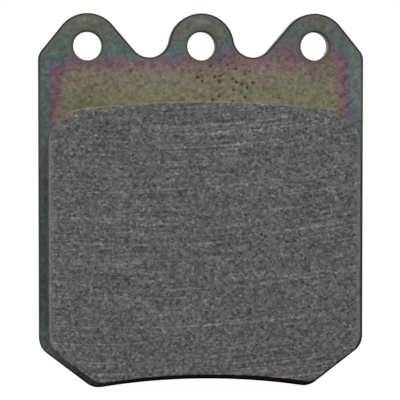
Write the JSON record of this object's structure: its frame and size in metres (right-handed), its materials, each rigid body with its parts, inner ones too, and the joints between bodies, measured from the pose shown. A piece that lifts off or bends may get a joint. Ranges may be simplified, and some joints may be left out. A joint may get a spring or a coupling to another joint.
{
  "type": "brake pad",
  "caption": "Disc brake pad: plated steel backing plate with pin ears along the top, scalloped between them, and a moulded friction lining with a curved, corner-cut outline.",
  "frame": {"origin": "bottom centre of the pad's bounding box: under the middle of the pad, midway through its thickness, level with the two lower lobes", "axes": "+Z radially outward from the disc, towards the pin ears; -Y towards the disc (friction face); +Y towards the piston (plate's back); X across the pad, symmetric about X = 0"},
  "size_m": [0.0666, 0.0144, 0.0765],
  "materials": {
    "plated_steel": "zinc plated, dark yellow chromate with olive, teal and magenta iridescence, satin",
    "bond_adhesive": "baked phenolic adhesive, dull",
    "underlayer_compound": "moulded, matt, slightly browner and finer than the lining",
    "friction_compound": "ground flat, grey with light and dark specks and faint curved grinding marks"
  },
  "bodies": {
    "root": {"backing_plate": "plated_steel", "bond_film": "bond_adhesive", "underlayer": "underlayer_compound", "friction_lining": "friction_compound"}
  },
  "joints": []
}
